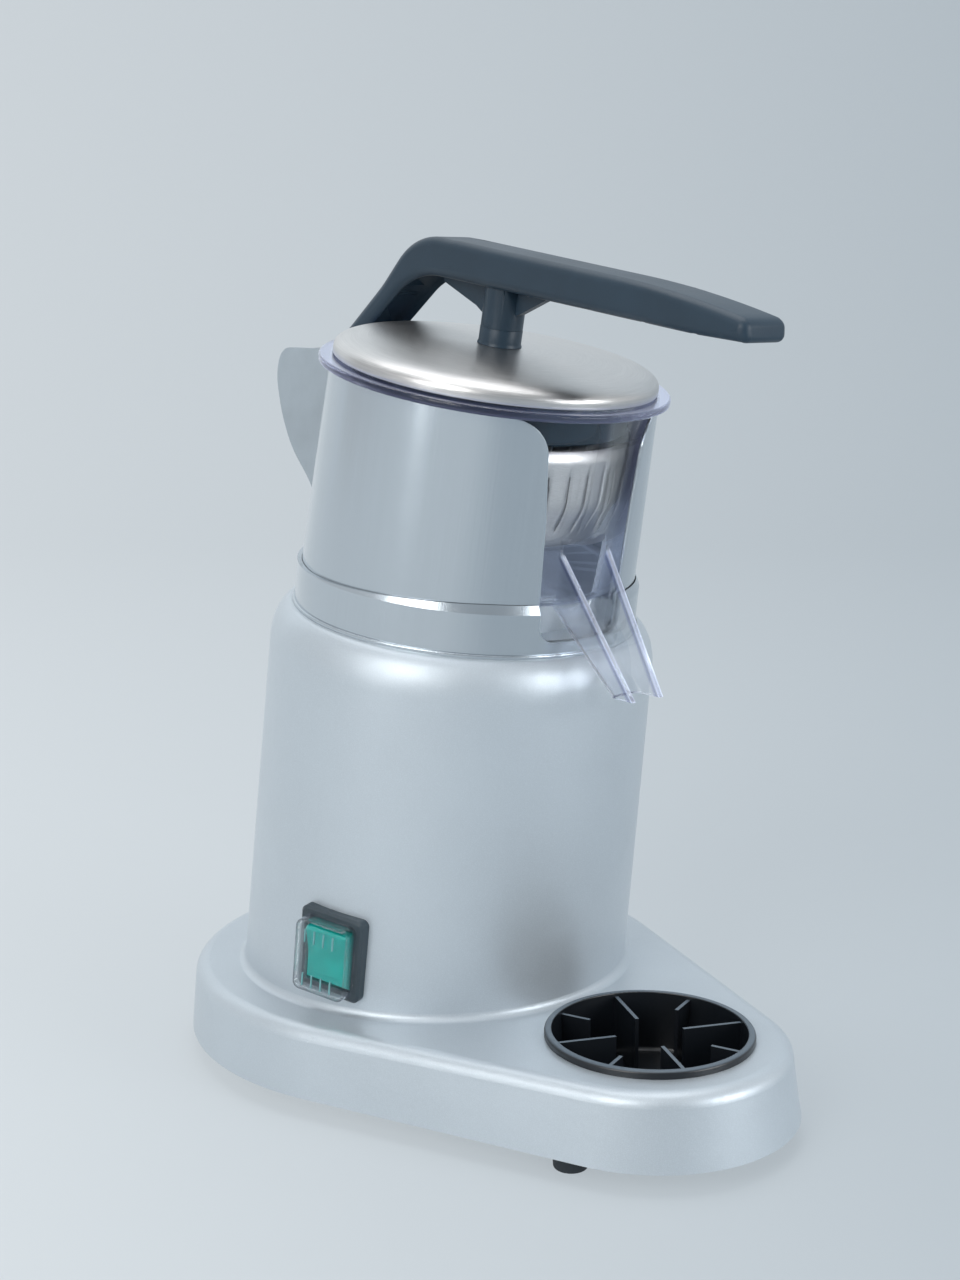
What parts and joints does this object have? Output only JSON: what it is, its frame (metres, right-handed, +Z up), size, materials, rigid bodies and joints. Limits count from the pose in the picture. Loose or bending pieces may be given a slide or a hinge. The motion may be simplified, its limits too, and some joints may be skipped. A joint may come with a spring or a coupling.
{
  "type": "lever citrus juice press",
  "caption": "Motor citrus press with a leaning body on a teardrop base, clear bowl with spout, lever with lid and press cup, rocker switch and lift-out drip cup.",
  "frame": {"origin": "middle of the footprint, on the floor under the feet", "axes": "+Z up, the spout and the grip of the lever point along -Y"},
  "size_m": [0.212, 0.297, 0.3456],
  "materials": {
    "silver_paint": "satin metallic lacquer",
    "silver_sheet": "smooth semi-gloss",
    "clear_plastic": "clear, moulded",
    "stainless": "brushed",
    "slate_plastic": "fine satin grain",
    "bracket_paint": "matt light grey",
    "switch_grey": "satin",
    "switch_green": "translucent green",
    "boot_clear": "soft and clear",
    "black_plastic": "satin black",
    "rubber": "matt",
    "zinc_plate": "zinc-plated",
    "steel": "turned",
    "copper": "enamelled wire",
    "cast_alloy": "as cast",
    "lamination": "stacked sheet",
    "white_plastic": "food grade",
    "capacitor_grey": "plain"
  },
  "bodies": {
    "stand": {"base_casting": "silver_paint", "collar": "silver_sheet", "splash_guard": "silver_sheet", "bowl": "clear_plastic", "strainer": "stainless", "base_plate": "zinc_plate", "rubber_feet": "rubber", "foot_screws": "steel", "switch_housing": "switch_grey", "switch_cover": "boot_clear", "cord_gland": "black_plastic", "gland_nut": "black_plastic", "motor_stator": "lamination", "motor_windings": "copper", "upper_end_shield": "cast_alloy", "lower_end_shield": "cast_alloy", "upper_bearing": "steel", "lower_bearing": "steel", "motor_screws": "steel", "shaft_seal": "rubber", "run_capacitor": "capacitor_grey", "capacitor_clip": "zinc_plate", "hinge_bracket": "bracket_paint", "bracket_screws": "steel", "hinge_pin": "steel", "pin_plug": "bracket_paint", "hinge_washers": "white_plastic"},
    "spindle": {"motor_rotor": "cast_alloy", "motor_shaft": "steel", "cooling_fan": "black_plastic", "drive_pin": "steel", "reamer": "white_plastic"},
    "lever_arm": {"lever": "slate_plastic", "lid_boss": "slate_plastic", "lid": "stainless", "press_cup": "slate_plastic", "stem_bolt": "steel"},
    "rocker": {"switch_rocker": "switch_green"},
    "drip_tray": {"drip_cup": "black_plastic"}
  },
  "joints": [
    {"name": "spindle_turn", "type": "hinge", "parent": "stand", "child": "spindle", "pos_m": [0, 0.01821, 0.21091], "axis": [0, -0.1994, 0.9799], "continuous": true},
    {"name": "lever_lift", "type": "hinge", "parent": "stand", "child": "lever_arm", "pos_m": [0, 0.0915, 0.29], "axis": [-1, 0, 0], "range_deg": [0, 95]},
    {"name": "rocker_tilt", "type": "hinge", "parent": "stand", "child": "rocker", "pos_m": [-0.07637, 0.01182, 0.06371], "axis": [-0.3173, 0.9402, 0.1238], "range_deg": [0, 14]},
    {"name": "drip_cup_lift", "type": "slide", "parent": "stand", "child": "drip_tray", "axis": [0, 0, 1], "range_m": [0, 0.03]}
  ]
}
